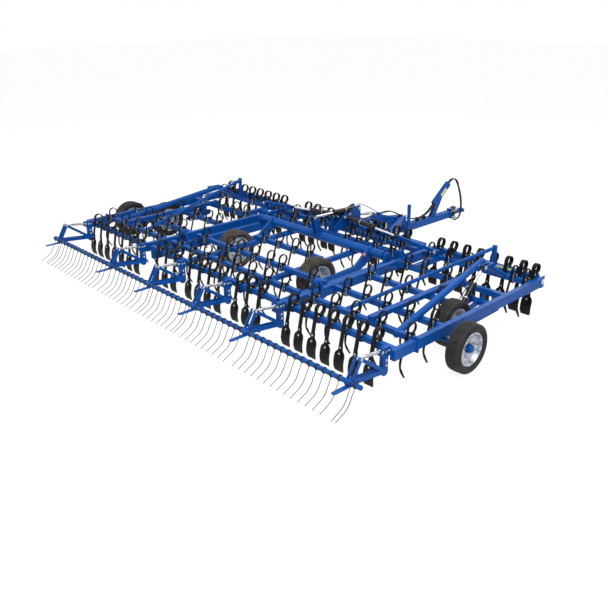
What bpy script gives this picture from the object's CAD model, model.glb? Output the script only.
"""Seven-metre field cultivator: finishes, detailed pieces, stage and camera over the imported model."""
import math

import bmesh
import bpy
import numpy as np
from mathutils import Matrix, Vector


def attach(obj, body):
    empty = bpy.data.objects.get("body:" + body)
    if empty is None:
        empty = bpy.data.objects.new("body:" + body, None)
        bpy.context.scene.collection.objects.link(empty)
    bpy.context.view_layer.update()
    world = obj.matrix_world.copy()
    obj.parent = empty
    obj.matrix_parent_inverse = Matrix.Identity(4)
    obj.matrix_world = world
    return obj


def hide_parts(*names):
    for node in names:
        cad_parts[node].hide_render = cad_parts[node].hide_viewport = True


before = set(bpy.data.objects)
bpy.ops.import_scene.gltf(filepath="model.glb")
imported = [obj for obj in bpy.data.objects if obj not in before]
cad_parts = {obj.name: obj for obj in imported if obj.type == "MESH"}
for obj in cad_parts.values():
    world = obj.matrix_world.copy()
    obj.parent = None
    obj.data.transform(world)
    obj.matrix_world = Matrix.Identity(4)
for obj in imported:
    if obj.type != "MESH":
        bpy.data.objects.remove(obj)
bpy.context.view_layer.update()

bl_info = {
    "name": "Field cultivator",
    "version": (1, 0, 0),
    "blender": (4, 5, 0),
    "location": "View3D > Sidebar > Cultivator",
    "description": "Builds the pieces and finishes of a towed field cultivator over its packed model",
    "category": "Object",
}

# Stations of the machine, in millimetres, as in the part's source
PIN_Y = -2815.0
ROW_Y = {"rear": 170.0, "second": 546.0, "third": 1040.0, "fourth": 1690.0, "fifth": 2375.0,
         "fifth_centre": 2700.0, "sixth": 3030.0, "front": 3230.0}
TUBE_TOP, TUBE_LOW, FRONT_TUBE_TOP = 535.0, 465.0, 565.0
SIDES = ((-1, "left"), (1, "right"))
MM = 0.001


# Shapes: a shape is its points in millimetres and a list of face arrays


def grid_faces(rows, cols, wrap_cols=True, wrap_rows=False):
    """Quads of a grid; a wrapped direction joins its last line of points to its first."""
    r = np.arange(rows if wrap_rows else rows - 1)
    c = np.arange(cols if wrap_cols else cols - 1)
    r, c = np.meshgrid(r, c, indexing="ij")
    r2, c2 = (r + 1) % rows, (c + 1) % cols
    return np.stack([r * cols + c, r * cols + c2, r2 * cols + c2, r2 * cols + c], -1).reshape(-1, 4)


def unit(v):
    v = np.asarray(v, float)
    return v / np.linalg.norm(v, axis=-1, keepdims=True)


def axes(along, ref):
    """Three square axes: along, one nearest to ref, and their cross product."""
    a = unit(along)
    ref = np.broadcast_to(np.asarray(ref, float), a.shape)
    b = unit(ref - a * np.sum(a * ref, -1, keepdims=True))
    return a, b, np.cross(a, b)


def turned(profile, start, along, n, ref):
    """Points of a profile (t, r), each run round the axis at start + t * along, r away."""
    profile = np.asarray(profile, float)
    a, b, c = axes(along, ref)
    ang = np.linspace(0, 2 * np.pi, n, endpoint=False)
    spokes = np.cos(ang)[:, None] * b + np.sin(ang)[:, None] * c
    pts = np.asarray(start, float) + profile[:, 0, None, None] * a + profile[:, 1, None, None] * spokes
    return pts.reshape(-1, 3)


def lathe(profile, start=(0, 0, 0), along=(1, 0, 0), n=24, ref=(0.31, 0.17, 1.0)):
    """Surface of revolution, closed by a flat face at each end of its profile."""
    rows = len(profile)
    faces = [grid_faces(rows, n), np.arange(n)[None, ::-1], (rows - 1) * n + np.arange(n)[None, :]]
    return turned(profile, start, along, n, ref), faces


def sweep(path, section, ref, size=None, closed=False):
    """A section (u, v) carried along a path: u lies along ref, v across it, both times size there."""
    path = np.asarray(path, float)
    section = np.asarray(section, float)
    if closed:
        tangent = np.roll(path, -1, 0) - np.roll(path, 1, 0)
    else:
        tangent = np.gradient(path, axis=0)
    _, u, v = axes(tangent, ref)
    scale = np.ones((len(path), 2)) if size is None else np.broadcast_to(size, (len(path), 2))
    pts = (path[:, None, :] + (section[None, :, 0] * scale[:, :1])[..., None] * u[:, None, :]
           + (section[None, :, 1] * scale[:, 1:])[..., None] * v[:, None, :])
    m = len(section)
    faces = [grid_faces(len(path), m, wrap_rows=closed)]
    if not closed:
        faces += [np.arange(m)[None, ::-1], (len(path) - 1) * m + np.arange(m)[None, :]]
    return pts.reshape(-1, 3), faces


def prism(outline, plane, a, b, chamfer=1.5):
    """Plate with a polygon outline in the named plane, from a to b, its edges cut at 45 degrees."""
    outline = np.asarray(outline, float)
    before, after = unit(outline - np.roll(outline, 1, 0)), unit(np.roll(outline, -1, 0) - outline)
    inward = np.stack([-(before + after)[:, 1], (before + after)[:, 0]], -1)
    area = np.sum(outline[:, 0] * np.roll(outline[:, 1], -1) - outline[:, 1] * np.roll(outline[:, 0], -1))
    inward = unit(inward) * np.sign(area)
    small = outline + inward * chamfer
    n = len(outline)
    flat = np.concatenate([small, outline, outline, small])
    out = np.repeat([a, a + chamfer, b - chamfer, b], n)
    order = {"yz": (2, 0, 1), "xz": (0, 2, 1), "xy": (0, 1, 2)}[plane]
    pts = np.column_stack([flat, out])[:, order]
    return pts, [grid_faces(4, n), np.arange(n)[None, ::-1], 3 * n + np.arange(n)[None, :]]


def box(x0, x1, y0, y1, z0, z1, chamfer=1.5):
    """Box with 45 degree edges round its top and bottom."""
    return prism([(x0, y0), (x1, y0), (x1, y1), (x0, y1)], "xy", z0, z1, chamfer)


def ball(centre, r, n=16):
    """Sphere as a lathe whose profile is half a circle."""
    a = np.linspace(0.02, np.pi - 0.02, n)
    return lathe(np.column_stack([-r * np.cos(a), r * np.sin(a)]), centre, (0, 0, 1), n)


def shifted(shape, *offsets):
    """Copies of a shape, one for each offset."""
    pts, faces = shape
    offsets = np.asarray(offsets, float).reshape(-1, 3)
    steps = np.arange(len(offsets)) * len(pts)
    out = (pts[None] + offsets[:, None]).reshape(-1, 3)
    return out, [(f[None] + steps[:, None, None]).reshape(-1, f.shape[1]) for f in faces]


def merged(*shapes):
    pts, faces, count = [], [], 0
    for p, f in shapes:
        pts.append(p)
        faces += [k + count for k in f]
        count += len(p)
    return np.concatenate(pts), faces


def mirrored(shape, s):
    """The shape for the right side, or its mirror image in the plane X = 0 for the left."""
    pts, faces = shape
    if s > 0:
        return shape
    return pts * (-1, 1, 1), [f[:, ::-1] for f in faces]


def sided(s, *shapes):
    """Groups for build: each shape on side s, with the finish number of its place in the list."""
    return [(mirrored(shape, s), k) for k, shape in enumerate(shapes)]


def bent(start, heading, moves, step=9.0):
    """Path in the Y-Z plane of straight (length, 0) and round (radius, degrees) moves, a point each step."""
    at, h = np.array(start, float), math.radians(heading)
    out = [at[None]]
    for size, turn in moves:
        if turn == 0:
            k = max(2, int(size / step / 2) + 1)
            d = np.linspace(0, size, k)[1:, None]
            seg = at + d * [math.cos(h), math.sin(h)]
        else:
            s, t = math.copysign(1, turn), math.radians(turn)
            k = max(3, int(abs(t) * size / step) + 1)
            a = h + np.linspace(0, t, k)[1:]
            seg = at + s * size * np.stack([np.sin(a) - math.sin(h), math.cos(h) - np.cos(a)], -1)
            h += t
        out.append(seg)
        at = seg[-1]
    flat = np.concatenate(out)
    return np.column_stack([np.zeros(len(flat)), flat])


def smooth_path(points, radius, step=8.0):
    """Path through straight runs whose corners are rounded with a tangent quadratic curve."""
    pts = np.asarray(points, float)
    out = [pts[:1]]
    for a, b, c in zip(pts[:-2], pts[1:-1], pts[2:]):
        la, lc = np.linalg.norm(a - b), np.linalg.norm(c - b)
        cut = min(radius, 0.48 * la, 0.48 * lc)
        p, q = b + (a - b) / la * cut, b + (c - b) / lc * cut
        t = np.linspace(0, 1, max(4, int(2 * cut / step)))[:, None]
        out.append((1 - t) ** 2 * p + 2 * t * (1 - t) * b + t ** 2 * q)
    out.append(pts[-1:])
    return np.concatenate(out)


def circle(r, n=10):
    a = np.linspace(0, 2 * np.pi, n, endpoint=False)
    return np.column_stack([np.cos(a), np.sin(a)]) * r


def bar_section(width, thick, edge):
    """Outline of a flat bar with cut corners, its width along u."""
    w, t = width / 2, thick / 2
    return [(-w + edge, -t), (w - edge, -t), (w, -t + edge), (w, t - edge),
            (w - edge, t), (-w + edge, t), (-w, t - edge), (-w, -t + edge)]


def pipe(points, r, bend=60.0, n=10, ref=(1.0, 0.13, 0.07)):
    """Round pipe of radius r along straight runs with rounded corners."""
    return sweep(smooth_path(points, bend), circle(r, n), ref)


def bolt(at, along, r, height=None, washer=True, reach=0.0):
    """Hexagon bolt head with a chamfered top, a washer under it, and the rest of its shank if asked."""
    h = height or r * 0.75
    base = h * 0.22 if washer else 0.0
    head = lathe([(base, r), (base + h * 0.78, r), (base + h, r * 0.84)], at, along, 6)
    parts = [head]
    if washer:
        parts.append(lathe([(0, r * 1.3), (base, r * 1.3)], at, along, 14))
    if reach:
        parts.append(lathe([(0, r * 0.52), (base + h + reach, r * 0.52)], at, along, 8))
    return merged(*parts)


def build(name, body, groups, finishes, replaced=(), sharp=35.0):
    """One piece from groups of (shape, finish number), its normals outwards and its edges sharp past an angle."""
    pts, loops, totals, numbers, count = [], [], [], [], 0
    for shape, number in groups:
        p, faces = shape
        pts.append(p)
        for f in faces:
            loops.append((f + count).ravel())
            totals.append(np.full(len(f), f.shape[1]))
            numbers.append(np.full(len(f), number))
        count += len(p)
    pts, loops = np.concatenate(pts) * MM, np.concatenate(loops)
    totals, numbers = np.concatenate(totals), np.concatenate(numbers)
    mesh = bpy.data.meshes.new(name)
    mesh.vertices.add(len(pts))
    mesh.vertices.foreach_set("co", pts.ravel())
    mesh.loops.add(len(loops))
    mesh.loops.foreach_set("vertex_index", loops)
    mesh.polygons.add(len(totals))
    mesh.polygons.foreach_set("loop_start", np.concatenate([[0], np.cumsum(totals)[:-1]]))
    mesh.polygons.foreach_set("loop_total", totals)
    mesh.polygons.foreach_set("material_index", numbers)
    mesh.update(calc_edges=True)
    mesh.validate()
    bm = bmesh.new()
    bm.from_mesh(mesh)
    bmesh.ops.recalc_face_normals(bm, faces=bm.faces)
    bm.to_mesh(mesh)
    bm.free()
    mesh.polygons.foreach_set("use_smooth", np.ones(len(mesh.polygons), bool))
    mesh.set_sharp_from_angle(angle=math.radians(sharp))
    for f in finishes:
        mesh.materials.append(FINISHES[f])
    obj = bpy.data.objects.new(name, mesh)
    bpy.context.scene.collection.objects.link(obj)
    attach(obj, body)
    if replaced:
        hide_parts(*replaced)
    return obj


# Finishes: node materials on Object coordinates

FINISHES = {}


def put(tree, socket, value):
    """Link an output to an input socket, or set the socket's value."""
    if isinstance(value, bpy.types.NodeSocket):
        tree.links.new(value, socket)
    else:
        socket.default_value = value


def math_node(tree, kind, a, b):
    """Output of a Math node over two outputs or numbers."""
    n = tree.nodes.new("ShaderNodeMath")
    n.operation = kind
    put(tree, n.inputs[0], a)
    put(tree, n.inputs[1], b)
    return n.outputs[0]


class Net:
    """A material's node tree with short calls for the nodes that the finishes share."""

    def __init__(self, name):
        self.material = bpy.data.materials.new(name)
        self.material.use_nodes = True
        self.tree = self.material.node_tree
        self.shader = self.tree.nodes["Principled BSDF"]
        self.coord = self.tree.nodes.new("ShaderNodeTexCoord").outputs["Object"]
        FINISHES[name] = self.material

    def node(self, kind, **sockets):
        n = self.tree.nodes.new("ShaderNode" + kind)
        for key, value in sockets.items():
            if hasattr(n, key) and not isinstance(value, bpy.types.NodeSocket):
                setattr(n, key, value)
            else:
                put(self.tree, n.inputs[key], value)
        return n

    def link(self, output, key):
        self.tree.links.new(output, self.shader.inputs[key])

    def set(self, **values):
        for key, value in values.items():
            self.shader.inputs[key.replace("_", " ")].default_value = value

    def noise(self, scale, detail=4.0, rough=0.55, stretch=(1, 1, 1)):
        m = self.node("Mapping", Vector=self.coord, Scale=stretch)
        n = self.node("TexNoise", Vector=m.outputs[0], Scale=scale, Detail=detail, Roughness=rough)
        return n.outputs["Fac"]

    def ramp(self, fac, *stops):
        """Colour ramp over fac with stops (place, colour or grey)."""
        n = self.node("ValToRGB", Fac=fac)
        e = n.color_ramp.elements
        while len(e) < len(stops):
            e.new(0.5)
        for el, (place, c) in zip(e, stops):
            el.position = place
            el.color = (*c, 1.0) if hasattr(c, "__len__") else (c, c, c, 1.0)
        return n.outputs["Color"]

    def mix(self, fac, a, b, blend="MIX"):
        n = self.tree.nodes.new("ShaderNodeMix")
        n.data_type = "RGBA"
        n.blend_type = blend
        put(self.tree, n.inputs[0], fac)
        for key, value in ((6, a), (7, b)):
            put(self.tree, n.inputs[key], value if isinstance(value, bpy.types.NodeSocket) else (*value, 1.0))
        return n.outputs[2]

    def math(self, kind, a, b=0.5):
        return math_node(self.tree, kind, a, b)

    def bump(self, height, strength, distance):
        n = self.node("Bump", Height=height, Strength=strength, Distance=distance)
        self.link(n.outputs["Normal"], "Normal")

    def upward(self):
        """How far a face looks up, from 0 on walls and undersides to 1 on flat tops."""
        g = self.tree.nodes.new("ShaderNodeNewGeometry").outputs["Normal"]
        z = self.node("SeparateXYZ", Vector=g).outputs["Z"]
        return self.math("MAXIMUM", z, 0.0)


def linear(colour):
    """Linear colour of an sRGB one given from 0 to 255."""
    c = np.asarray(colour, float) / 255.0
    return tuple(np.where(c <= 0.04045, c / 12.92, ((c + 0.055) / 1.055) ** 2.4))


def lighter(colour, k):
    return tuple(min(1.0, c * k) for c in colour)


def paint(name, colour, dust, amount, rough, coat, scale=1.0, grain=0.08):
    """Sprayed paint: slow changes of tone, fine dust on faces that look up, orange-peel and small marks."""
    net = Net(name)
    slow = net.ramp(net.noise(2.1 * scale, 3.0), (0.35, lighter(colour, 0.86)), (0.7, lighter(colour, 1.1)))
    marks = net.ramp(net.noise(46.0 * scale, 8.0, 0.7), (0.58, 0.0), (0.72, 1.0))
    patches = net.ramp(net.noise(6.5 * scale, 6.0, 0.65), (0.42, 0.0), (0.78, 1.0))
    up = net.math("MULTIPLY", net.math("MULTIPLY_ADD", net.upward(), 0.7), patches)
    worn = net.mix(net.math("MULTIPLY", up, amount), slow, dust)
    net.link(net.mix(net.math("MULTIPLY", marks, amount * 0.5), worn, lighter(dust, 0.7)), "Base Color")
    net.link(net.ramp(net.noise(11.0 * scale, 5.0), (0.3, rough), (0.75, min(1.0, rough + 0.2))), "Roughness")
    net.set(Coat_Weight=coat, Coat_Roughness=0.12, Specular_IOR_Level=0.14)
    net.bump(net.noise(260.0, 3.0), grain, 0.001)
    return net


def metal(name, dark, light, rough, scale, stretch=(1, 1, 1), bright=1.0, spangle=False):
    """Bare or plated metal: brushed noise, or zinc crystals when spangle is set."""
    net = Net(name)
    if spangle:
        cells = net.node("TexVoronoi", Vector=net.coord, Scale=scale)
        tone = net.node("SeparateXYZ", Vector=cells.outputs["Color"]).outputs["X"]
    else:
        tone = net.noise(scale, 6.0, 0.6, stretch)
    grime = net.ramp(net.noise(7.0, 6.0, 0.7), (0.5, 0.0), (0.8, 0.55))
    net.link(net.mix(grime, net.ramp(tone, (0.2, dark), (0.8, light)), lighter(dark, 0.45)), "Base Color")
    net.link(net.ramp(tone, (0.2, rough), (0.85, min(1.0, rough + 0.16))), "Roughness")
    net.set(Metallic=bright)
    net.bump(net.noise(scale * 3.0, 4.0, 0.5, stretch), 0.06, 0.001)
    return net


def rubber(name, colour, dust, amount, rough, scale=1.0):
    """Rubber with dust held in patches, a dull sheen and a fine moulded grain."""
    net = Net(name)
    base = net.ramp(net.noise(5.0 * scale, 4.0), (0.3, lighter(colour, 0.75)), (0.75, lighter(colour, 1.3)))
    patches = net.ramp(net.noise(9.0 * scale, 8.0, 0.7), (0.4, 0.0), (0.7, 1.0))
    net.link(net.mix(net.math("MULTIPLY", patches, amount), base, dust), "Base Color")
    net.link(net.ramp(net.noise(24.0 * scale, 5.0), (0.3, rough), (0.8, min(1.0, rough + 0.15))), "Roughness")
    net.set(Specular_IOR_Level=0.22)
    net.bump(net.noise(420.0, 4.0, 0.6), 0.25, 0.0008)
    return net


def make_finishes(look):
    """All finishes, from the colours that the panel holds."""
    blue, black, soil = tuple(look.blue), tuple(look.black), tuple(look.dust)
    paint("blue_paint", blue, soil, look.dust_amount, 0.34, 0.02)
    paint("tine_black", black, soil, look.dust_amount, 0.44, 0.0, 2.0, 0.15)
    paint("barrel_black", lighter(black, 0.8), soil, look.dust_amount * 0.6, 0.3, 0.3, 2.0)
    metal("wire_steel", linear((22, 23, 28)), linear((44, 46, 54)), 0.42, 60.0, bright=0.15)
    metal("zinc", linear((150, 156, 160)), linear((214, 218, 220)), 0.34, 90.0, bright=0.75, spangle=True)
    metal("chrome", linear((188, 190, 200)), linear((226, 228, 236)), 0.1, 40.0, (1, 1, 12), bright=1.0)
    metal("rim_steel", linear((158, 164, 172)), linear((212, 218, 226)), 0.36, 34.0, bright=0.55, spangle=True)
    metal("coupling", linear((150, 138, 104)), linear((206, 196, 166)), 0.3, 70.0, bright=0.9)
    rubber("wing_tyre", linear((36, 36, 38)), linear((82, 80, 78)), 0.25, 0.62)
    rubber("centre_tyre", linear((58, 53, 48)), linear((118, 108, 95)), 0.5, 0.75)
    hose = rubber("hose_rubber", linear((26, 26, 28)), linear((78, 74, 68)), 0.25, 0.48, 2.0)
    wrap = hose.node("TexWave", Vector=hose.coord, Scale=170.0, Distortion=0.6, wave_type="BANDS",
                     bands_direction="DIAGONAL").outputs["Fac"]
    hose.bump(wrap, 0.12, 0.0006)
    for name, colour in (("sticker", linear((232, 236, 150))), ("plate_white", linear((226, 232, 238)))):
        paint(name, colour, soil, look.dust_amount * 0.5, 0.4, 0.0, 3.0)
    for name, colour in (("cap_red", linear((170, 28, 38))), ("cap_green", linear((28, 112, 84))),
                         ("cap_blue", linear((20, 70, 160))), ("knob_pink", linear((196, 128, 140)))):
        paint(name, colour, soil, look.dust_amount * 0.5, 0.38, 0.1, 4.0)


# CAD nodes that keep their own shape, and the finish of each
KEPT = {
    "blue_paint": ["centre_beams", "centre_cross_tubes", "centre_tower", "drawbar_frame", "hitch_head", "hose_holder",
                   "rockshaft", "rockshaft_levers", "harrow_frame_*", "wing_axle_*", "wing_beams_*",
                   "wing_cross_tubes_*", "wing_struts_*", "stand_leg"],
    "zinc": ["turnbuckle"],
}


def dress_kept():
    """Give each carried-over node its finish."""
    for finish, patterns in KEPT.items():
        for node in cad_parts:
            for p in patterns:
                if node == p or (p.endswith("*") and node.startswith(p[:-1])):
                    for slot in bpy.data.objects[node].material_slots:
                        slot.material = FINISHES[finish]


# Wheels

WHEELS = [  # name, x, y, radius, width, ribs, side that shows
    ("wing_outer", 3745.0, PIN_Y + 1120.0, 312.0, 215.0, 5, 1),
    ("wing_inner", 3220.0, PIN_Y + 1560.0, 312.0, 215.0, 5, -1),
    ("centre", 945.0, PIN_Y + 1390.0, 320.0, 250.0, 7, -1),
]
RIM_RATIO = 0.645
WHEEL_NUTS = 5


def tyre_shape(x, y, r, w, ribs, wave, turns=160):
    """Tyre over a grid of angle and profile: the profile runs from bead over the sidewall, shoulder and
    tread and back, and the tread's radius drops by a smooth trench at each groove. The grooves sway
    sideways by wave times a triangle of the angle, and the shoulders carry short slots."""
    rim, h = r * RIM_RATIO, w / 2
    belly = (r + rim) / 2
    wall = np.array([(rim, -0.6), (rim + 9, -0.64), (rim + 16, -0.76), (rim + 26, -0.83), (belly - 12, -0.955),
                     (belly, -0.985), (belly + 14, -0.975), (r - 42, -0.93), (r - 26, -0.885), (r - 13, -0.82),
                     (r - 5, -0.75)])
    across = np.linspace(-0.7, 0.7, ribs * 8 + 1)
    tread = np.column_stack([r - 5.5 * np.abs(across / 0.7) ** 3.0, across])
    prof = np.concatenate([wall, tread, wall[::-1] * (1, -1)])
    ang = np.linspace(0, 2 * np.pi, turns, endpoint=False)[:, None]
    rad, pos = prof[None, :, 0], prof[None, :, 1]
    sway = wave * np.abs(((ang * turns / 8 / (2 * np.pi)) % 1.0) * 4 - 2) - wave
    phase = (pos + sway + 0.7) / 1.4 * ribs
    near = np.abs(phase - np.round(phase)) * 1.4 * h / ribs
    inside = (np.abs(pos) < 0.66) & (np.round(phase) > 0) & (np.round(phase) < ribs)
    groove = np.where(inside, 9.0 * np.clip(1.6 - near / 3.4, 0, 1), 0.0)
    edge = (np.abs(pos) > 0.7) & (rad > r - 30)
    slots = np.where(edge, 2.6 * (np.sin(ang * turns / 4) > 0.2), 0.0)
    radius = rad - groove - slots
    pts = np.stack([x + pos * h + 0 * radius, y + radius * np.sin(ang), r + radius * np.cos(ang)], -1)
    return pts.reshape(-1, 3), [grid_faces(turns, len(prof), True, True)]


def rim_shapes(x, y, r, w, out):
    """Dished disc with rolled flanges, a blue hub and cap, wheel nuts and a valve, all lathed about X."""
    rr, h = r * RIM_RATIO, w / 2
    o, c = (out, 0, 0), (x, y, r)
    barrel = [(-0.63 * h, rr - 1), (0.63 * h, rr - 1), (0.67 * h, rr + 9), (0.71 * h, rr + 11), (0.74 * h, rr + 7),
              (0.73 * h, rr - 5), (0.62 * h, rr - 10), (0.5 * h, rr - 14), (0.3 * h, rr - 22), (0.2 * h, rr - 30),
              (0.1 * h, rr * 0.7), (0.05 * h, rr * 0.6), (0.08 * h, rr * 0.54), (0.2 * h, rr * 0.46),
              (0.22 * h, rr * 0.4), (0.22 * h, 66), (0.22 * h - 8, 66), (0.1 * h, rr * 0.44),
              (-0.04 * h, rr * 0.58), (0.0, rr * 0.72), (0.06 * h, rr - 32), (-0.3 * h, rr - 20),
              (-0.62 * h, rr - 12), (-0.72 * h, rr - 6), (-0.74 * h, rr + 7), (-0.7 * h, rr + 11),
              (-0.66 * h, rr + 9)]
    n = 72
    disc = (turned(barrel, c, o, n, (0, 0, 1)), [grid_faces(len(barrel), n, True, True)])
    hub = lathe([(-38, 40), (-38, 62), (0.22 * h + 4, 62), (0.22 * h + 9, 58), (0.3 * h, 52), (0.55 * h, 50),
                 (0.57 * h, 46), (0.6 * h, 45), (0.6 * h + 20, 38), (0.6 * h + 25, 30)], c, o, 40)
    around = np.linspace(0, 2 * np.pi, WHEEL_NUTS, endpoint=False)
    nut = bolt((0, 0, 0), o, 11, 14, True, 5)
    ring = 0.43 * rr
    spots = np.column_stack([np.full(WHEEL_NUTS, x + out * (0.21 * h)), y + ring * np.sin(around),
                             r + ring * np.cos(around)])
    valve = lathe([(0, 4), (26, 4), (27, 6), (34, 6), (35, 3)], (x + out * 0.22 * h, y + rr * 0.78, r), o, 10)
    return disc, hub, shifted(nut, *spots), valve


def make_tyres(look):
    for name, x, y, r, w, ribs, _ in WHEELS:
        shape = tyre_shape(x, y, r, w, ribs, look.tread_wave if name == "centre" else 0.0)
        for s, side in SIDES:
            finish = "centre_tyre" if name == "centre" else "wing_tyre"
            body = f"{name}_wheel_{side}"
            build(f"tyre_{name}_{side}", body, [(mirrored(shape, s), 0)], [finish],
                  [f"{name}_tyre_{side}"], 28)


def make_rims(look):
    for name, x, y, r, w, _, out in WHEELS:
        disc, hub, nuts, valve = rim_shapes(x, y, r, w, out)
        for s, side in SIDES:
            build(f"rim_{name}_{side}", f"{name}_wheel_{side}", sided(s, disc, hub, nuts, valve),
                  ["rim_steel", "blue_paint", "zinc", "barrel_black"], [f"{name}_rim_{side}"], 32)


# Spring tines and paddles

CENTRE_TINES = {"second": (175, 525, 875, 1225), "third": (0, 350, 610, 1250), "fourth": (180, 520),
                "fifth_centre": (350, 600, 950, 1300), "sixth": (175, 525, 875, 1225)}
WING_TINES = {"second": (1800, 2150, 2500, 2930, 3365), "third": (1900, 2250, 2600, 2960, 3320),
              "fourth": (1750, 2050, 2400, 2930), "fifth": (1850, 2150, 2550),
              "sixth": (1760, 2100, 2450, 3180, 3370)}
PADDLE_PITCH = 234
CENTRE_PADDLES = {"rear": (117, 351, 740, 974, 1208), "front": (400, 585, 910, 1144)}
WING_PADDLES = {"rear": tuple(1790 + PADDLE_PITCH * k for k in range(7)),
                "front": tuple(1790 + PADDLE_PITCH * k for k in range(7)) + (3385,)}
LOOP_R, LOOP_START = 70.0, 34.0  # radius of a spring's loop round the tube and the straight run before it
TINE_MOVES = [(LOOP_START, 0), (LOOP_R, 270.0), (160.0, -18.0), (0.0, 0), (250.0, 52.0), (70.0, 0)]


def tine_moves(drop):
    """The tine's moves with its straight run as long as its foot needs to reach the ground."""
    fixed, slope, h = 0.0, None, 0.0
    for size, turn in TINE_MOVES:
        if size == 0.0:
            slope = math.sin(math.radians(h))
        elif turn == 0:
            fixed += size * math.sin(math.radians(h))
        else:
            s = math.copysign(1, turn)
            fixed += size * s * (math.cos(math.radians(h)) - math.cos(math.radians(h + turn)))
            h += turn
    return [((-drop - fixed) / slope if size == 0.0 else size, turn) for size, turn in TINE_MOVES]


def tine_shapes():
    """One tine at the origin's row: a sprung bar of even section that thins towards its foot, a bolted point in
    front of the foot, and the clamp of pad, saddle, base plate and four bolts on the tube."""
    start = (-24.0, TUBE_TOP + 16.0)
    path = bent(start, 0.0, tine_moves(start[1] - 12.0), 11.0)
    way = np.concatenate([[0], np.cumsum(np.linalg.norm(np.diff(path, axis=0), axis=1))])
    left = (way[-1] - way) / 260.0
    size = np.column_stack([np.clip(0.55 + 0.45 * left, 0.55, 1.0), np.clip(0.6 + 0.4 * left, 0.6, 1.0)])
    leaf = sweep(path, bar_section(32.0, 12.0, 2.4), (1, 0, 0), size)
    foot = path[left < 0.66]
    d = np.gradient(foot, axis=0)
    front = unit(np.column_stack([d[:, 0], -d[:, 2], d[:, 1]]))
    front *= np.sign(front[:, 1:2])
    t = np.linspace(0, 1, len(foot))
    wide = 1.0 - 0.5 * np.abs(t - 0.45) ** 1.6 * 2.0
    point = sweep(foot + front * 7.5, bar_section(46.0, 5.5, 1.6), (1, 0, 0),
                  np.column_stack([wide, np.ones(len(t))]))
    mid = foot[len(foot) // 3] + front[len(foot) // 3] * 9.5
    share_bolt = bolt(mid, front[len(foot) // 3], 7.0, 5.0, True)
    pad = box(-30, 30, -50, 50, TUBE_TOP, TUBE_TOP + 10, 2)
    saddle = prism([(-34, TUBE_TOP + 22), (-26, TUBE_TOP + 34), (8, TUBE_TOP + 34), (14, TUBE_TOP + 22)],
                   "yz", -23, 23, 2)
    base = box(-30, 30, -50, 50, TUBE_LOW - 10, TUBE_LOW, 2)
    spots = [(x, y) for x in (-18, 18) for y in (-43.5, 43.5)]
    heads = [bolt((x, y, TUBE_TOP + 10), (0, 0, 1), 9.0, 9.0, True, 4) for x, y in spots]
    nuts = [bolt((x, y, TUBE_LOW - 10), (0, 0, -1), 9.0, 8.0, True, 5) for x, y in spots]
    shanks = [lathe([(0, 5.5), (TUBE_TOP - TUBE_LOW + 20, 5.5)], (x, y, TUBE_LOW - 10), (0, 0, 1), 8)
              for x, y in spots]
    return merged(leaf, point, pad, saddle, base), merged(share_bolt, *heads, *nuts, *shanks)


def paddle_shapes(top):
    """One levelling paddle: a wide flat spring looped over the tube, and a shouldered plate bolted behind it.
    The plate is a grid whose half width follows its height and whose line bends forward to the ground."""
    start = (-24.0, top + 15.0)
    path = bent(start, 0.0, [(LOOP_START, 0), (LOOP_R, 270.0), (220.0, -12.0), (top - 130.0, 0)], 12.0)
    spring = sweep(path, bar_section(60.0, 10.0, 2.2), (1, 0, 0))
    h = math.radians(258.0)
    y = start[0] + LOOP_START - LOOP_R - 220 * (1 - math.cos(math.radians(12)))
    z = start[1] + LOOP_R - 220 * math.sin(math.radians(12))
    ny, nz = -math.sin(h), math.cos(h)
    k = (z - 345.0) / -math.sin(h)
    at = (y + k * math.cos(h) + ny * 9.0, 345.0 + nz * 9.0)
    drop = 190 * -math.sin(h) + 260 * (math.cos(h + math.radians(26)) - math.cos(h))
    last = (at[1] - drop - 9.0) / -math.sin(h + math.radians(26))
    line = bent(at, 258.0, [(190.0, 0), (260.0, 26.0), (last, 0)], 14.0)
    half = np.interp(line[:, 2], [0, 18, 60, 235, 262, 286, 400], [58, 72, 80, 80, 62, 31, 30])
    cup = np.interp(line[:, 2], [0, 60, 200, 300], [0.0, 3.0, 7.0, 0.0])
    u = np.linspace(-1, 1, 9)
    d = unit(np.gradient(line, axis=0))
    normal = np.column_stack([d[:, 0], d[:, 2], -d[:, 1]])
    flat = line[:, None, :] + np.array([1.0, 0, 0]) * (half[:, None] * u)[..., None]
    flat = flat + normal[:, None, :] * (cup[:, None] * (u ** 2 - 0.5))[..., None]
    rows, cols = len(line), len(u)
    front, back = flat + normal[:, None, :] * 3.6, flat - normal[:, None, :] * 3.6
    grid = grid_faces(rows, cols, False, False)
    n = rows * cols
    edge = np.concatenate([np.arange(cols), np.arange(1, rows) * cols + cols - 1,
                           (rows - 1) * cols + np.arange(cols - 2, -1, -1), np.arange(rows - 2, 0, -1) * cols])
    nxt = np.roll(edge, -1)
    rim = np.stack([edge, nxt, nxt + n, edge + n], -1)
    plate = (np.concatenate([front.reshape(-1, 3), back.reshape(-1, 3)]), [grid, grid[:, ::-1] + n, rim])
    heads = []
    for zb in (315.0, 240.0):
        kb = (z - zb) / -math.sin(h)
        cy = y + kb * math.cos(h)
        heads.append(bolt((0, cy + ny * 12.5, zb + nz * 12.5), (0, ny, nz), 11.0, 8.0, True, 3))
        heads.append(bolt((0, cy - ny * 5.0, zb - nz * 5.0), (0, -ny, -nz), 10.0, 7.0, True))
    pad = box(-34, 34, -48, 48, top, top + 10, 2)
    cap = box(-30, 30, -34, 14, top + 20, top + 32, 2)
    base = box(-34, 34, -48, 48, TUBE_LOW - 9, TUBE_LOW, 2)
    tops = [bolt((x, yy, top + 10), (0, 0, 1), 10.0, 9.0, True, 5) for x in (-22, 22) for yy in (-41, 41)]
    return merged(spring, plate, pad, cap, base), merged(*heads, *tops)


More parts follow.
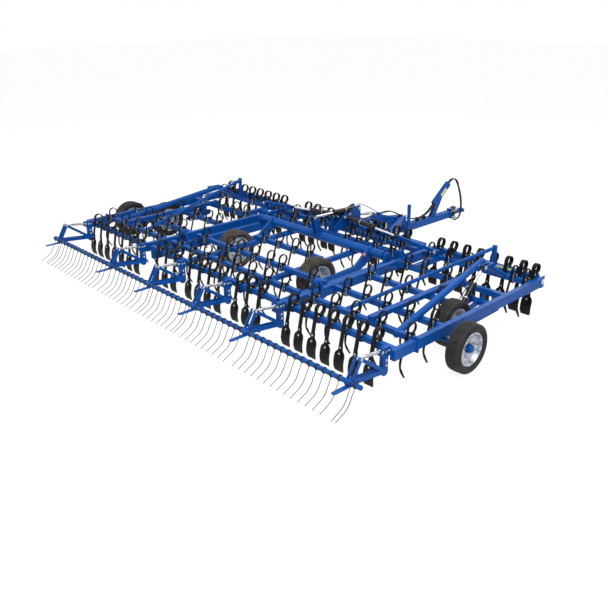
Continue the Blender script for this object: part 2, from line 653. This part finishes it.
def places(table, s, both):
    """Offsets of every piece in a table of rows, on one side or on both sides of the middle."""
    out = []
    for row, xs in table.items():
        for x in xs:
            out.append((s * x, PIN_Y + ROW_Y[row], 0.0))
            if both and x:
                out.append((-s * x, PIN_Y + ROW_Y[row], 0.0))
    return out


SECTIONS = (  # name of the pieces, body, node, side
    ("centre", "centre_frame", "centre_{}", 1),
    ("wing_left", "wing_left", "wing_{}_left", -1),
    ("wing_right", "wing_right", "wing_{}_right", 1),
)


def make_tines(look):
    bar, steel = tine_shapes()
    for name, body, node, s in SECTIONS:
        both = name == "centre"
        spots = places(CENTRE_TINES if both else WING_TINES, s, both)
        build(f"tines_{name}", body, [(shifted(bar, *spots), 0), (shifted(steel, *spots), 1)],
              ["tine_black", "zinc"], [node.format("tines")], 30)


def make_paddles(look):
    shapes = {"rear": paddle_shapes(TUBE_TOP), "front": paddle_shapes(FRONT_TUBE_TOP)}
    for name, body, node, s in SECTIONS:
        both, groups = name == "centre", []
        table = CENTRE_PADDLES if both else WING_PADDLES
        for row, (plate, steel) in shapes.items():
            spots = places({row: table[row]}, s, both)
            groups += [(shifted(plate, *spots), 0), (shifted(steel, *spots), 1)]
        build(f"paddles_{name}", body, groups, ["tine_black", "zinc"], [node.format("paddles")], 30)


# Harrow

HARROW_TUBE = (PIN_Y - 490.0, 330.0)
STRUT_END = (PIN_Y - 347.0, 563.0)
POST_PIN = (PIN_Y, 519.0)
POSTS = (-3373.0, -1636.0, -547.0, 547.0, 1636.0, 3373.0)
HARROWS = [("centre", "centre_frame", -1500.0, 1500.0, 26), ("right", "wing_right", 1560.0, 3550.0, 17),
           ("left", "wing_left", -3550.0, -1560.0, 17)]
WIRE_PITCH = 116.0


def wire_shape(r=4.5, coil=34.5, turns=3.0):
    """One harrow wire: a coil round the tube as a helix about X, then a leg that follows a cubic curve,
    first down and back, then on in a slack S to its tip on the ground."""
    y, z = HARROW_TUBE
    a = np.linspace(0, turns * 2 * np.pi, int(turns * 16) + 1)
    x = np.linspace(-r * 2.1 * turns, 0, len(a))
    ring = np.column_stack([x, y - coil * np.cos(a), z + coil * np.sin(a)])[:-1]
    knots = np.array([(0, y - coil, z), (0, y - coil - 4, z - 46), (0, y - coil - 42, z - 112),
                      (0, y - coil - 60, z - 160), (0, y - 150, z - 235), (0, PIN_Y - 806.0, 8.0 + r)])
    t = np.linspace(0, 1, len(knots))
    fine = np.linspace(0, 1, 34)
    leg = np.column_stack([np.interp(fine, t, knots[:, k]) for k in range(3)])
    kernel = np.array([1, 2, 3, 2, 1]) / 9.0
    soft = np.column_stack([np.convolve(np.pad(leg[:, k], 2, mode="edge"), kernel, "valid") for k in range(3)])
    soft[0], soft[-1] = leg[0], leg[-1]
    return sweep(np.concatenate([ring, soft]), circle(r, 7), (1, 0, 0))


def make_wires(look):
    shape = wire_shape()
    for name, body, x0, x1, count in HARROWS:
        mid, xs = (x0 + x1) / 2, []
        for k in range(count):
            x = mid + (k - (count - 1) / 2) * WIRE_PITCH
            for p in POSTS:
                if x0 < p < x1 and p - 69 < x < p + 53:
                    x = p + 53 if x > p - 8 else p - 69
            xs.append((x, 0, 0))
        build(f"wires_{name}", body, [(shifted(shape, *xs), 0)], ["wire_steel"],
              [f"harrow_wires_{name}"], 40)


def strut_shapes(x):
    """Zinc link between the post's top pin and the harrow arm: a ribbed sleeve, a thinner threaded rod with two
    lock nuts, and an eye at each end."""
    (y0, z0), (y1, z1) = POST_PIN, STRUT_END
    n = math.hypot(y1 - y0, z1 - z0)
    d = (0, y1 - y0, z1 - z0)
    sleeve = lathe([(12, 17), (18, 21), (200, 21), (206, 23), (214, 23), (216, 14)], (x, y0, z0), d, 24)
    thread = np.array([(200 + k * 2.0, 12.0 - 1.2 * (k % 2)) for k in range(int((n - 215) / 2))])
    rod = lathe(thread, (x, y0, z0), d, 14)
    nuts = merged(lathe([(0, 17), (2, 19), (16, 19), (18, 17)], (x, y0 + d[1] / n * 250, z0 + d[2] / n * 250), d, 6),
                  lathe([(0, 17), (2, 19), (10, 19), (12, 17)], (x, y0 + d[1] / n * 222, z0 + d[2] / n * 222), d, 6))
    eyes = [lathe([(-13, r - 2), (-11, r), (11, r), (13, r - 2)], (x, yy, zz), (1, 0, 0), 24)
            for yy, zz, r in ((y0, z0, 24), (y1, z1, 22))]
    pins = [bolt((x + s * reach, yy, zz), (s, 0, 0), 15, 9, True) for s in (-1, 1)
            for yy, zz, reach in ((y0, z0, 38), (y1, z1, 44))]
    return merged(sleeve, rod, nuts, *eyes, *pins)


def make_struts(look):
    for name, body, x0, x1, _ in HARROWS:
        posts = [p for p in POSTS if x0 < p < x1]
        shapes = merged(*[strut_shapes(p) for p in posts])
        spots = [(p + s * 37, PIN_Y + dy, z) for p in posts for s in (-1, 1)
                 for dy, z in ((60, 510), (105, 510), (72, 400), (72, 340))]
        heads = merged(*[bolt(at, (math.copysign(1, at[0] - min(posts, key=lambda p: abs(p - at[0]))), 0, 0), 13, 9)
                         for at in spots])
        build(f"struts_{name}", body, [(shapes, 0), (heads, 0)], ["zinc"], [f"harrow_struts_{name}"], 32)


# Hydraulic cylinders

THIN_R = 6.0
FOLD_Y = PIN_Y + 2900.0
FOLD_BASE, FOLD_EYE, FOLD_CLEVIS = (125.0, 770.0), (1945.0, 620.0), 1085.0
LIFT_PIN, LEVER_TOP, LIFT_BARREL = (PIN_Y + 3250.0, 840.0), (PIN_Y + 2250.0, 870.0), 530.0
WING_LIFT_X, WING_LIFT_LOW, WING_LIFT_TOP = 3040.0, (PIN_Y + 1930.0, 270.0), (PIN_Y + 2450.0, 780.0)


def eye_shape(at, pin, half_t, r):
    """Eye of a cylinder about its pin, with cut edges."""
    return lathe([(-half_t, r - 3), (-half_t + 3, r), (half_t - 3, r), (half_t, r - 3)], at, pin, 28)


def barrel_shapes(start, end, pin, length, r, eye_r, half_t, rod_r, up):
    """Barrel: lathed tube with a rolled base, a screwed gland with a wiper lip, two ports and their elbows."""
    a = unit(np.subtract(end, start))
    s = np.asarray(start, float)
    tube = lathe([(26, r * 0.55), (30, r - 4), (34, r), (length - 48, r), (length - 46, r + 1.5), (length - 44, r + 6),
                  (length - 6, r + 6), (length - 2, r + 3), (length, r - 4), (length, rod_r + 0.6),
                  (60, rod_r + 0.6)], s, a, 36)
    eye = eye_shape(s, pin, half_t, eye_r)
    neck = lathe([(eye_r * 0.4, eye_r * 0.7), (36, r * 0.72)], s, a, 20)
    _, u, v = axes(a, up)
    ports, steel = [], []
    for k in (62.0, length - 66.0):
        foot = s + a * k + u * (r - 3)
        ports.append(lathe([(0, 14), (12, 14), (14, 12)], foot, u, 16))
        steel.append(lathe([(14, 9), (16, 11), (24, 11), (26, 8), (36, 8), (36, 2)], foot, u, 6))
        inner = np.sign(length / 2 - k)
        steel.append(sweep(smooth_path([foot + u * 30, foot + u * 44, foot + u * 44 + a * inner * 34], 12, 3),
                           circle(7.5, 10), pin))
    mid = s + u * (r + 41)
    hose = sweep(smooth_path([mid + a * 90, mid + a * (length * 0.3) + u * 3, mid + a * (length * 0.7) - u * 3,
                              mid + a * (length - 98)], 40), circle(THIN_R, 10), pin)
    turn = np.linspace(0, 2 * np.pi, 30, endpoint=False)[:, None]
    middle = s + a * (length * 0.5 + 7)
    band = sweep(middle + r * (np.cos(turn) * u + np.sin(turn) * v), [(-7, -1), (7, -1), (7, 1), (-7, 1)], a,
                 closed=True)
    p, f = box(-7, 7, -7, 7, 0, 44, 2)
    saddle = (p @ np.stack([v, a, u]) + s + a * (length * 0.5 + 7) + u * (r - 2), f)
    return merged(tube, eye, neck, *ports), merged(band, saddle, *steel), hose


def rod_shapes(start, end, pin, r, eye_r, half_t):
    """Rod: a chromed bar from inside the gland to its eye, with a collar in front of the eye."""
    s, e = np.asarray(start, float), np.asarray(end, float)
    n = np.linalg.norm(e - s)
    bar = lathe([(76, r - 1), (78, r), (n - eye_r - 30, r)], s, e - s, 32)
    collar = lathe([(n - eye_r - 36, r), (n - eye_r - 34, r + 1), (n - eye_r + 2, r + 1), (n - eye_r + 8, r)],
                   s, e - s, 28)
    return bar, merged(collar, eye_shape(e, pin, half_t, eye_r))


def pin_heads(at, axis, reach, r):
    """Head and washer of a pin on each side, reach away from its middle."""
    a = unit(axis)
    return merged(*[lathe([(0, r * 1.9), (4, r * 1.9), (5, r * 1.45), (12, r * 1.45), (14, r * 1.2)],
                          np.asarray(at, float) + a * s * reach, a * s, 20) for s in (-1, 1)])


def make_cylinders(look):
    finishes = ["barrel_black", "zinc", "hose_rubber"]
    y, x = (0, 1, 0), (1, 0, 0)
    base, clevis = np.array([FOLD_BASE[0], FOLD_Y, FOLD_BASE[1]]), np.array([FOLD_EYE[0], FOLD_Y, FOLD_EYE[1]])
    d = unit(clevis - base)
    n = np.linalg.norm(clevis - base)
    barrel, steel, hose = barrel_shapes(base, clevis, y, 600.0, 38.0, 28.0, 20.0, 18.0, (0, 0, 1))
    bar = lathe([(470, 17), (472, 18), (FOLD_CLEVIS, 18)], base, d, 32)
    head = lathe([(FOLD_CLEVIS - 62, 22), (FOLD_CLEVIS - 58, 28), (FOLD_CLEVIS + 4, 28), (FOLD_CLEVIS + 10, 22)],
                 base, d, 28)
    flat = box(FOLD_CLEVIS, n, -12, 12, -26, 26, 3)
    up = np.cross(d, y)
    link = (flat[0] @ np.stack([d, np.array(y, float), up]) + base, flat[1])
    eye = eye_shape(clevis, y, 20, 30)
    for s, side in SIDES:
        build(f"fold_cylinder_{side}", f"fold_barrel_{side}", sided(s, barrel, steel, hose), finishes,
              [f"fold_barrel_{side}"], 32)
        build(f"fold_piston_{side}", f"fold_rod_{side}", sided(s, bar, head, merged(link, eye)),
              ["chrome", "barrel_black", "blue_paint"], [f"fold_rod_{side}"], 32)
        build(f"fold_pins_{side}", "centre_frame", sided(s, pin_heads(base, y, 42, 14)), ["zinc"])
        build(f"fold_link_pins_{side}", f"wing_{side}", sided(s, pin_heads(clevis, y, 44, 14)), ["zinc"])
    low = np.array([WING_LIFT_X, *WING_LIFT_LOW])
    top = np.array([WING_LIFT_X, *WING_LIFT_TOP])
    barrel, steel, hose = barrel_shapes(low, top, x, 480.0, 36.0, 28.0, 20.0, 20.0, (-1, 0.35, 0.2))
    bar, head = rod_shapes(low, top, x, 20.0, 28.0, 20.0)
    for s, side in SIDES:
        build(f"wing_cylinder_{side}", f"wing_lift_barrel_{side}", sided(s, barrel, steel, hose), finishes,
              [f"wing_lift_barrel_{side}"], 32)
        build(f"wing_piston_{side}", f"wing_lift_rod_{side}", sided(s, bar, head),
              ["chrome", "barrel_black"], [f"wing_lift_rod_{side}"], 32)
        build(f"wing_lift_pins_{side}", f"wing_{side}", sided(s, pin_heads(top, x, 44, 14)), ["zinc"])
        build(f"wing_lever_pins_{side}", f"wing_axle_{side}", sided(s, pin_heads(low, x, 68, 14)), ["zinc"])
    pin, lever = np.array([0.0, *LIFT_PIN]), np.array([0.0, *LEVER_TOP])
    barrel, steel, hose = barrel_shapes(pin, lever, x, LIFT_BARREL, 42.0, 30.0, 20.0, 20.0, (0.3, 0, -1))
    bar, head = rod_shapes(pin, lever, x, 20.0, 30.0, 20.0)
    build("lift_cylinder", "centre_lift_barrel", [(barrel, 0), (steel, 1), (hose, 2)], finishes,
          ["centre_lift_barrel"], 32)
    build("lift_piston", "centre_lift_rod", [(bar, 0), (head, 1)], ["chrome", "barrel_black"],
          ["centre_lift_rod"], 32)
    build("lift_pins", "centre_frame", [(pin_heads(pin, x, 80, 16), 0)], ["zinc"])
    build("lever_pins", "rockshaft", [(pin_heads(lever, x, 50, 14), 0)], ["zinc"])


# Hoses, couplings and small fittings

HOSE_R = 9.0
JACK_Y = PIN_Y + 4520.0
PLUG_Y, RACK_TOP = PIN_Y + 5935.0, 335.0
HOLD_A, HOLD_B = np.array([PIN_Y + 5430.0, 480.0]), np.array([PIN_Y + 5860.0, 810.0])
HOLD = unit(HOLD_B - HOLD_A)
EXIT = HOLD_A + HOLD * 560.0
FEED_Y, FEED_Z, FEED_LOW = PIN_Y + 3880.0, 612.0, 292.0
HOSES = [  # x at the holder, x of the drop, half the loop's width, lowest z, plug's end z, length, cap
    (-21.0, 84.0, 130.0, 60.0, 242.0, 1.378, "cap_red"),
    (0.0, 112.0, 130.0, 80.0, 262.0, 1.360, "cap_green"),
    (21.0, 140.0, 105.0, 115.0, 262.0, 1.247, "cap_blue"),
]


def loop_route(x, fall_x, half, low, plug_z):
    """Control points of a free hose: over the top of the holder, down, round half an octagon and up."""
    fall_y = PLUG_Y + 2 * half
    c = half * 2 / (1 + math.sqrt(2)) / math.sqrt(2)
    shift = fall_x - x
    p1 = EXIT + HOLD * 126
    p2 = p1 + (121.3, -59.2)
    z4 = low + c
    drop = p2[1] - z4
    return [(x, *EXIT), (x, *p1), (x + 0.25 * shift, *p2), (x + 0.6 * shift, fall_y - 30, p2[1] - 0.27 * drop),
            (x + 0.88 * shift, fall_y + 6, p2[1] - 0.56 * drop), (fall_x + 3, fall_y + 8, p2[1] - 0.79 * drop),
            (fall_x, fall_y, z4), (fall_x, fall_y - c, low), (fall_x, PLUG_Y + c, low), (fall_x, PLUG_Y, z4),
            (fall_x, PLUG_Y, plug_z)]


def hose_curve(name, points, r):
    """Round hose: a NURBS spline of order 3 through its first and last control points."""
    curve = bpy.data.curves.new(name, "CURVE")
    curve.dimensions = "3D"
    curve.bevel_depth, curve.bevel_resolution, curve.resolution_u = r * MM, 6, 14
    curve.use_fill_caps = True
    spline = curve.splines.new("NURBS")
    spline.points.add(len(points) - 1)
    for point, at in zip(spline.points, points):
        point.co = (at[0] * MM, at[1] * MM, at[2] * MM, 1.0)
    spline.order_u = 3
    spline.use_endpoint_u = True
    curve.materials.append(FINISHES["hose_rubber"])
    obj = bpy.data.objects.new(name, curve)
    bpy.context.scene.collection.objects.link(obj)
    return obj


def make_hoses(look):
    for k, (x, fall_x, half, low, plug_z, length, _) in enumerate(HOSES, 1):
        hose = hose_curve(f"free_hose_{k}", loop_route(x, fall_x, half, low, plug_z), HOSE_R)
        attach(hose, "centre_frame")
        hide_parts(f"hose_{k}")


def feed_shapes(x):
    foot = (HOLD_A[1] - FEED_LOW) / HOLD[1]
    points = [(x, FEED_Y, FEED_Z), (x, FEED_Y + 270, FEED_Z), (x, PIN_Y + 4740, 315),
              (x, HOLD_A[0] - HOLD[0] * foot, FEED_LOW), (x, *EXIT)]
    return sweep(smooth_path(points, 400.0, 14.0), circle(HOSE_R, 14), (1.0, 0.0, 0.0))


def coupling_shapes(x, plug_z):
    """Hydraulic coupling under the rack: ferrule, hexagon, body and a flange, and its nipple above."""
    at, up = (x, PLUG_Y, 0), (0, 0, 1)
    ferrule = lathe([(plug_z, 10), (plug_z + 0.5, 13), (plug_z + 24, 13), (plug_z + 26, 10), (plug_z + 32, 10)],
                    at, up, 20)
    nut = lathe([(plug_z + 31, 13), (plug_z + 33, 15), (plug_z + 43, 15), (plug_z + 45, 13)], at, up, 6)
    body = lathe([(plug_z + 45, 12), (RACK_TOP - 22, 12), (RACK_TOP - 20, 16), (RACK_TOP - 11, 16),
                  (RACK_TOP - 11, 12)], at, up, 24)
    top = lathe([(RACK_TOP - 1, 15), (RACK_TOP + 6, 15), (RACK_TOP + 8, 11), (RACK_TOP + 12, 11)], at, up, 6)
    return merged(ferrule, nut, body, top)


def cap_shapes(x, plug_z):
    """Coloured grip ring round the coupling and dust cap above it, both ribbed in steps."""
    at, up = (x, PLUG_Y, 0), (0, 0, 1)
    grip = [(plug_z + 47 + 3.0 * k, 16.0 - 1.2 * (k % 2)) for k in range(6)]
    cap = [(RACK_TOP + 10, 15), (RACK_TOP + 26, 15), (RACK_TOP + 30, 12), (RACK_TOP + 31, 6)]
    return merged(lathe([(grip[0][0], 12.5), *grip, (grip[-1][0], 12.5)], at, up, 24), lathe(cap, at, up, 24))


TUBE_REST = TUBE_TOP + THIN_R
THIN_HOSES = [  # body, mirrored too, route
    ("centre_frame", False, [(0, 440, 893), (0, 560, 880), (12, 850, 730), (12, 1000, 634), (12, 1015, 610)]),
    ("centre_frame", True, [(25, 1012, 606), (60, 930, 655), (150, 560, 660), (176, 240, 700), (186, 120, 822),
                            (230, 96, 842)]),
    ("centre_frame", True, [(70, 1012, 470), (200, 700, 480), (420, 430, 575), (700, 400, 571), (1180, 400, 571),
                            (1330, 330, 565), (1380, 60, 560), (1392, -110, 541)]),
    ("centre_frame", True, [(230, -115, TUBE_REST), (600, -115, TUBE_REST), (980, -112, TUBE_REST),
                            (1330, -115, TUBE_REST)]),
    ("wing", True, [(1700, -455, TUBE_REST), (2100, -440, TUBE_REST), (2500, -450, TUBE_REST),
                    (2690, -440, TUBE_REST), (2728, -440, 604), (2822, -440, 604), (2862, -440, TUBE_REST),
                    (2960, -452, 545), (2966, -520, 560)]),
    ("wing", True, [(1700, 200, TUBE_REST), (2000, 226, TUBE_REST), (2380, 206, TUBE_REST), (2790, 226, TUBE_REST)]),
]
BANDS = [  # body, x, y of each band that holds a thin hose on a tube
    ("centre_frame", [(600, -115), (980, -112), (1240, -115)]),
    ("wing", [(2100, -440), (2500, -450), (2000, 226), (2380, 206)]),
]


def holder_plate(start, stop, half):
    """Parallelogram on the holder's side, from one share of its length to another."""
    across = np.array([-HOLD[1], HOLD[0]]) * half
    a, b = HOLD_A + (HOLD_B - HOLD_A) * start, HOLD_A + (HOLD_B - HOLD_A) * stop
    return [a - across, b - across, b + across, a + across]


def make_fittings(look):
    build("feed_hoses", "centre_frame", [(merged(*[feed_shapes(h[0]) for h in HOSES]), 0)], ["hose_rubber"],
          ["hose_feed"], 40)
    build("couplings", "centre_frame",
          [(coupling_shapes(h[1], h[4]), 0) for h in HOSES]
          + [(cap_shapes(h[1], h[4]), 1 + k) for k, h in enumerate(HOSES)],
          ["coupling"] + [h[6] for h in HOSES])
    clips = [merged(box(-35, 35, y - 11, y + 11, z0, z1, 2), bolt((0, y, z1), (0, 0, 1), 8, 6))
             for y, z0, z1 in ((PIN_Y + 4950, 242, 318), (PIN_Y + 5150, 242, 306))]
    build("hose_clips", "centre_frame", [(merged(*clips), 0)], ["tine_black"])
    for body, both, route in THIN_HOSES:
        line = pipe(route, THIN_R, 45.0, 10)
        for s, side in SIDES if both else SIDES[1:]:
            name = f"{body}_{side}" if body == "wing" else body
            build(f"thin_hose_{name}_{side}", name, sided(s, line), ["hose_rubber"], sharp=60.0)
    for body, spots in BANDS:
        band = merged(*[box(x - 8, x + 8, y - 11, y + 11, TUBE_TOP - 1, TUBE_REST + THIN_R + 2, 2)
                        for x, y in spots])
        for s, side in SIDES:
            name = f"{body}_{side}" if body == "wing" else body
            build(f"bands_{name}_{side}", name, sided(s, band), ["zinc"])
    labels = merged(prism(holder_plate(0.42, 0.76, 30.0), "yz", 37.6, 38.8, 0.3),
                    box(109.6, 110.8, 1072, 1132, 354, 446, 0.3))
    build("label_fields", "centre_frame", [(labels, 0)], ["sticker"])
    build("label_field_wing", "wing_right", [(box(2740, 3060, 374.2, 375.4, 537, 562, 0.3), 0)], ["sticker"])
    for s, side in SIDES:
        plate = box(3510.6, 3512.0, 388, 452, 458, 526, 0.3)
        build(f"blank_plate_{side}", f"wing_{side}", sided(s, plate), ["plate_white"])
    pin = merged(lathe([(-46, 9), (-44, 10), (-38, 10), (-38, 6), (44, 6), (46, 5)], (140, JACK_Y, 608),
                       (1, 0, 0), 16),
                 pipe([(96, JACK_Y, 608), (88, JACK_Y, 600), (88, JACK_Y, 553), (102, JACK_Y, 548)], 4.0, 10.0, 8))
    flange = merged(*[bolt((x, PIN_Y + 5985, z), (0, 1, 0), 11, 9) for x in (-46, 46) for z in (108, 268)])
    collar = lathe([(0, 34), (0, 44), (4, 47), (14, 47), (18, 44), (18, 34)], (0, PIN_Y + 6350, 204), (0, 0, 1), 40)
    build("drawbar_fittings", "centre_frame", [(merged(pin, flange), 0), (collar, 1)], ["zinc", "blue_paint"])
    knob = merged(ball((1172, -640, 553), 27.0, 22), lathe([(0, 8), (22, 8)], (1132, -640, 545), (1, 0, 0.2), 12))
    build("arm_knob", "rockshaft", [(knob, 0)], ["knob_pink"])


# Stage, light and camera

CAMERA_AT = (7.825, -8.142, 4.070)
CAMERA_YAW, CAMERA_PITCH, CAMERA_ROLL = 46.75, 23.35, -0.37
CAMERA_LENS = 41.80


def flat_quad(name, corners, material):
    mesh = bpy.data.meshes.new(name)
    mesh.from_pydata(corners, [], [(0, 1, 2, 3)])
    mesh.materials.append(material)
    obj = bpy.data.objects.new(name, mesh)
    bpy.context.scene.collection.objects.link(obj)
    return obj


def white_where_seen(tree, under, strength, amount):
    """Mix of a lit shader with plain white for rays from the camera, and for those that metal and glass send."""
    path = tree.nodes.new("ShaderNodeLightPath").outputs
    seen = math_node(tree, "MAXIMUM", path["Is Camera Ray"], path["Is Glossy Ray"])
    seen = math_node(tree, "MAXIMUM", seen, path["Is Transmission Ray"])
    share = math_node(tree, "MULTIPLY", seen, amount)
    room = under.bl_idname == "ShaderNodeBackground"
    white = tree.nodes.new("ShaderNodeBackground" if room else "ShaderNodeEmission")
    white.inputs["Color"].default_value = (1, 1, 1, 1)
    white.inputs["Strength"].default_value = strength
    mix = tree.nodes.new("ShaderNodeMixShader")
    tree.links.new(share, mix.inputs[0])
    tree.links.new(under.outputs[0], mix.inputs[1])
    tree.links.new(white.outputs[0], mix.inputs[2])
    return mix.outputs[0]


def make_stage(look):
    scene = bpy.context.scene
    material = bpy.data.materials.new("floor_white")
    material.use_nodes = True
    tree = material.node_tree
    tree.nodes.remove(tree.nodes["Principled BSDF"])
    diffuse = tree.nodes.new("ShaderNodeBsdfDiffuse")
    diffuse.inputs["Color"].default_value = (0.86, 0.86, 0.86, 1)
    tree.links.new(white_where_seen(tree, diffuse, 1.18, 0.76), tree.nodes["Material Output"].inputs["Surface"])
    half = 60.0
    corners = [(-half, -half, 0), (half, -half, 0), (half, half, 0), (-half, half, 0)]
    flat_quad("studio_floor", corners, material)
    world = scene.world or bpy.data.worlds.new("studio")
    scene.world = world
    world.use_nodes = True
    back = world.node_tree.nodes["Background"]
    back.inputs["Color"].default_value = (0.92, 0.95, 1.0, 1)
    back.inputs["Strength"].default_value = look.sky
    world.node_tree.links.new(white_where_seen(world.node_tree, back, 1.0, 1.0),
                              world.node_tree.nodes["World Output"].inputs["Surface"])
    for name, at, size, power in (("key", (6.0, -5.0, 11.0), 7.0, look.key),
                                  ("fill", (-9.0, -6.0, 8.0), 9.0, look.fill),
                                  ("back", (-2.0, 11.0, 9.0), 8.0, look.back)):
        lamp = bpy.data.lights.new(name, "AREA")
        lamp.shape, lamp.size, lamp.energy = "DISK", size, power
        obj = bpy.data.objects.new(name, lamp)
        obj.location = at
        obj.rotation_euler = (Vector((0, 0.3, 0.4)) - Vector(at)).to_track_quat("-Z", "Y").to_euler()
        scene.collection.objects.link(obj)
    yaw, pitch, roll = (math.radians(a) for a in (CAMERA_YAW, CAMERA_PITCH, CAMERA_ROLL))
    fwd = Vector((-math.sin(yaw) * math.cos(pitch), math.cos(yaw) * math.cos(pitch), -math.sin(pitch)))
    right = Vector((math.cos(yaw), math.sin(yaw), 0))
    up = right.cross(fwd)
    r2 = math.cos(roll) * right + math.sin(roll) * up
    u2 = -math.sin(roll) * right + math.cos(roll) * up
    camera = bpy.data.objects.new("camera", bpy.data.cameras.new("camera"))
    camera.data.sensor_width, camera.data.lens = 36.0, CAMERA_LENS
    camera.data.clip_end = 200.0
    camera.matrix_world = Matrix.Translation(CAMERA_AT) @ Matrix((r2, u2, -fwd)).transposed().to_4x4()
    scene.collection.objects.link(camera)
    scene.camera = camera
    scene.view_settings.view_transform = "Standard"


# Panel, settings and operators


class CultivatorLook(bpy.types.PropertyGroup):
    blue: bpy.props.FloatVectorProperty(name="Blue paint", description="Colour of the frame's paint", subtype="COLOR",
                                        size=3, min=0, max=1, default=linear((0, 78, 158)))
    black: bpy.props.FloatVectorProperty(name="Black paint", description="Colour of tines and paddles",
                                         subtype="COLOR", size=3, min=0, max=1, default=linear((13, 14, 18)))
    dust: bpy.props.FloatVectorProperty(name="Dust", description="Colour of dry soil dust", subtype="COLOR",
                                        size=3, min=0, max=1, default=linear((132, 122, 110)))
    dust_amount: bpy.props.FloatProperty(name="Dust amount", description="How much dust lies on upward faces",
                                         subtype="FACTOR", min=0, max=1, default=0.06)
    tread_wave: bpy.props.FloatProperty(name="Tread wave", description="Sideways sway of the centre tyres' grooves",
                                        subtype="FACTOR", min=0, max=0.2, default=0.03)
    sky: bpy.props.FloatProperty(name="Room light", description="Strength of the even light of the room",
                                 min=0, max=3, default=0.4)
    key: bpy.props.FloatProperty(name="Key lamp", description="Power of the main lamp", unit="POWER",
                                 min=0, max=20000, default=1350.0)
    fill: bpy.props.FloatProperty(name="Fill lamp", description="Power of the fill lamp", unit="POWER",
                                  min=0, max=20000, default=240.0)
    back: bpy.props.FloatProperty(name="Back lamp", description="Power of the back lamp", unit="POWER",
                                  min=0, max=20000, default=420.0)


class CULTIVATOR_OT_finishes(bpy.types.Operator):
    """Make every finish and put it on the nodes that keep their own shape"""
    bl_idname, bl_label = "cultivator.finishes", "Finishes"

    def execute(self, context):
        make_finishes(context.scene.cultivator)
        dress_kept()
        return {"FINISHED"}


class CULTIVATOR_OT_stage(bpy.types.Operator):
    """Floor, room, lamps and the photograph's camera"""
    bl_idname, bl_label = "cultivator.stage", "Stage"

    def execute(self, context):
        make_stage(context.scene.cultivator)
        return {"FINISHED"}


class CULTIVATOR_OT_hoses(bpy.types.Operator):
    """Free hoses from the holder to the couplings"""
    bl_idname, bl_label = "cultivator.hoses", "Hoses"

    def execute(self, context):
        make_hoses(context.scene.cultivator)
        return {"FINISHED"}


class CULTIVATOR_OT_fittings(bpy.types.Operator):
    """Feed hoses, couplings, thin hoses, blank labels and small fittings"""
    bl_idname, bl_label = "cultivator.fittings", "Fittings"

    def execute(self, context):
        make_fittings(context.scene.cultivator)
        return {"FINISHED"}


class CULTIVATOR_OT_tyres(bpy.types.Operator):
    """Ribbed tyres of the six wheels"""
    bl_idname, bl_label = "cultivator.tyres", "Tyres"

    def execute(self, context):
        make_tyres(context.scene.cultivator)
        return {"FINISHED"}


class CULTIVATOR_OT_rims(bpy.types.Operator):
    """Zinc rims with blue hubs, nuts and valves"""
    bl_idname, bl_label = "cultivator.rims", "Rims"

    def execute(self, context):
        make_rims(context.scene.cultivator)
        return {"FINISHED"}


class CULTIVATOR_OT_tines(bpy.types.Operator):
    """Looped spring tines with points and clamps"""
    bl_idname, bl_label = "cultivator.tines", "Tines"

    def execute(self, context):
        make_tines(context.scene.cultivator)
        return {"FINISHED"}


class CULTIVATOR_OT_paddles(bpy.types.Operator):
    """Levelling paddles on wide looped springs"""
    bl_idname, bl_label = "cultivator.paddles", "Paddles"

    def execute(self, context):
        make_paddles(context.scene.cultivator)
        return {"FINISHED"}


class CULTIVATOR_OT_wires(bpy.types.Operator):
    """Coiled wires of the harrow"""
    bl_idname, bl_label = "cultivator.wires", "Harrow wires"

    def execute(self, context):
        make_wires(context.scene.cultivator)
        return {"FINISHED"}


class CULTIVATOR_OT_struts(bpy.types.Operator):
    """Zinc links between the harrow's posts and arms, with the posts' bolts"""
    bl_idname, bl_label = "cultivator.struts", "Harrow links"

    def execute(self, context):
        make_struts(context.scene.cultivator)
        return {"FINISHED"}


class CULTIVATOR_OT_cylinders(bpy.types.Operator):
    """Fold and lift cylinders with ports, pipes and pins"""
    bl_idname, bl_label = "cultivator.cylinders", "Cylinders"

    def execute(self, context):
        make_cylinders(context.scene.cultivator)
        return {"FINISHED"}


STEPS = (CULTIVATOR_OT_finishes, CULTIVATOR_OT_stage, CULTIVATOR_OT_hoses, CULTIVATOR_OT_tyres, CULTIVATOR_OT_rims,
         CULTIVATOR_OT_tines, CULTIVATOR_OT_paddles, CULTIVATOR_OT_wires, CULTIVATOR_OT_struts,
         CULTIVATOR_OT_cylinders, CULTIVATOR_OT_fittings)


class CULTIVATOR_PT_panel(bpy.types.Panel):
    """Sizes, colours and the steps that build the machine"""
    bl_idname, bl_label = "CULTIVATOR_PT_panel", "Field cultivator"
    bl_space_type, bl_region_type, bl_category = "VIEW_3D", "UI", "Cultivator"

    def draw(self, context):
        for key in CultivatorLook.__annotations__:
            self.layout.prop(context.scene.cultivator, key)
        for step in STEPS:
            self.layout.operator(step.bl_idname)


CLASSES = (CultivatorLook, *STEPS, CULTIVATOR_PT_panel)


def register():
    for c in CLASSES:
        bpy.utils.register_class(c)
    bpy.types.Scene.cultivator = bpy.props.PointerProperty(type=CultivatorLook)


def unregister():
    del bpy.types.Scene.cultivator
    for c in reversed(CLASSES):
        bpy.utils.unregister_class(c)


def main():
    register()
    for step in STEPS:
        group, name = step.bl_idname.split(".")
        getattr(getattr(bpy.ops, group), name)()


if __name__ == "__main__":
    main()
